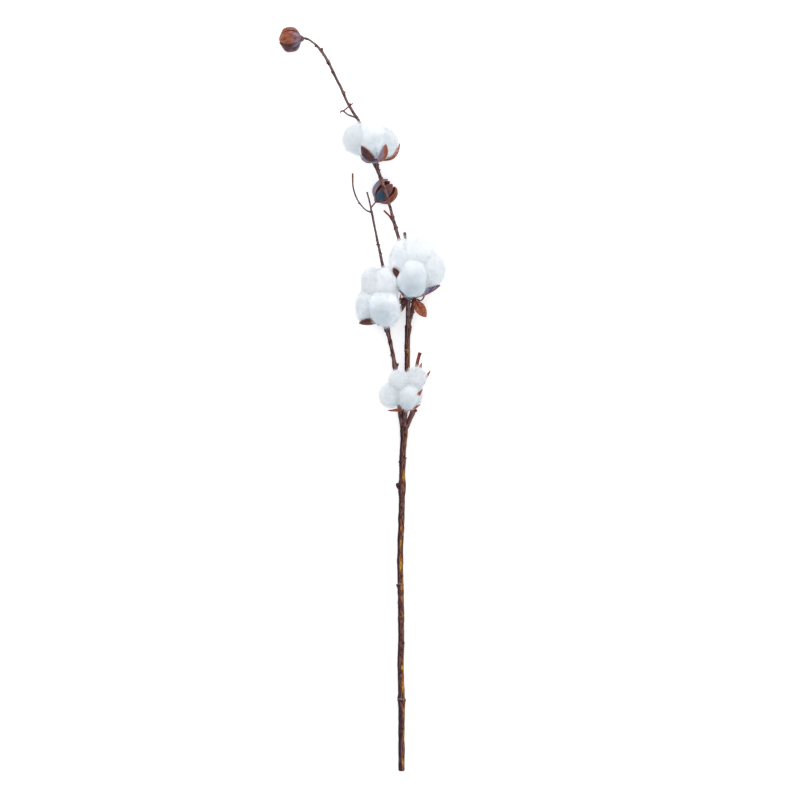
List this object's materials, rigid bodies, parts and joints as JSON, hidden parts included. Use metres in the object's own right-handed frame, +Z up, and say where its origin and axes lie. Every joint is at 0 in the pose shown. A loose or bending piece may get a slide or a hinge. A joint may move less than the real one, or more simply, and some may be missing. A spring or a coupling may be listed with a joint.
{
  "type": "dried cotton stem",
  "caption": "Single branching stem of dried cotton with open fluffy bolls and empty seed cases, lying flat, for a vase or wreath.",
  "frame": {"origin": "on the table, under the middle of the branch's bounding box", "axes": "+Y along the stem from its cut end to its tip, +Z up from the table that it lies on, +X to the right seen from above"},
  "size_m": [0.1782, 0.7808, 0.0515],
  "materials": {
    "bark": "dry brown bark with ochre patches",
    "husk": "dry striated husk, dull",
    "leaf": "dry veined leaf, dull",
    "cotton": "soft white raw cotton fibre"
  },
  "bodies": {
    "root": {"boll_1_bur": "husk", "boll_1_lock_1": "cotton", "boll_1_lock_2": "cotton", "boll_1_lock_3": "cotton", "boll_1_lock_4": "cotton", "boll_1_lock_5": "cotton", "boll_2_bract": "leaf", "boll_2_bur": "husk", "boll_2_leaf": "leaf", "boll_2_lock_1": "cotton", "boll_2_lock_2": "cotton", "boll_2_lock_3": "cotton", "boll_2_lock_4": "cotton", "boll_2_lock_5": "cotton", "boll_3_bur": "husk", "boll_3_lock_1": "cotton", "boll_3_lock_2": "cotton", "boll_3_lock_3": "cotton", "boll_3_lock_4": "cotton", "boll_3_lock_5": "cotton", "boll_4_bur": "husk", "boll_4_lock_1": "cotton", "boll_4_lock_2": "cotton", "boll_4_lock_3": "cotton", "boll_4_lock_4": "cotton", "boll_4_lock_5": "cotton", "empty_case_side": "husk", "empty_case_top": "husk", "stem": "bark"}
  },
  "joints": []
}
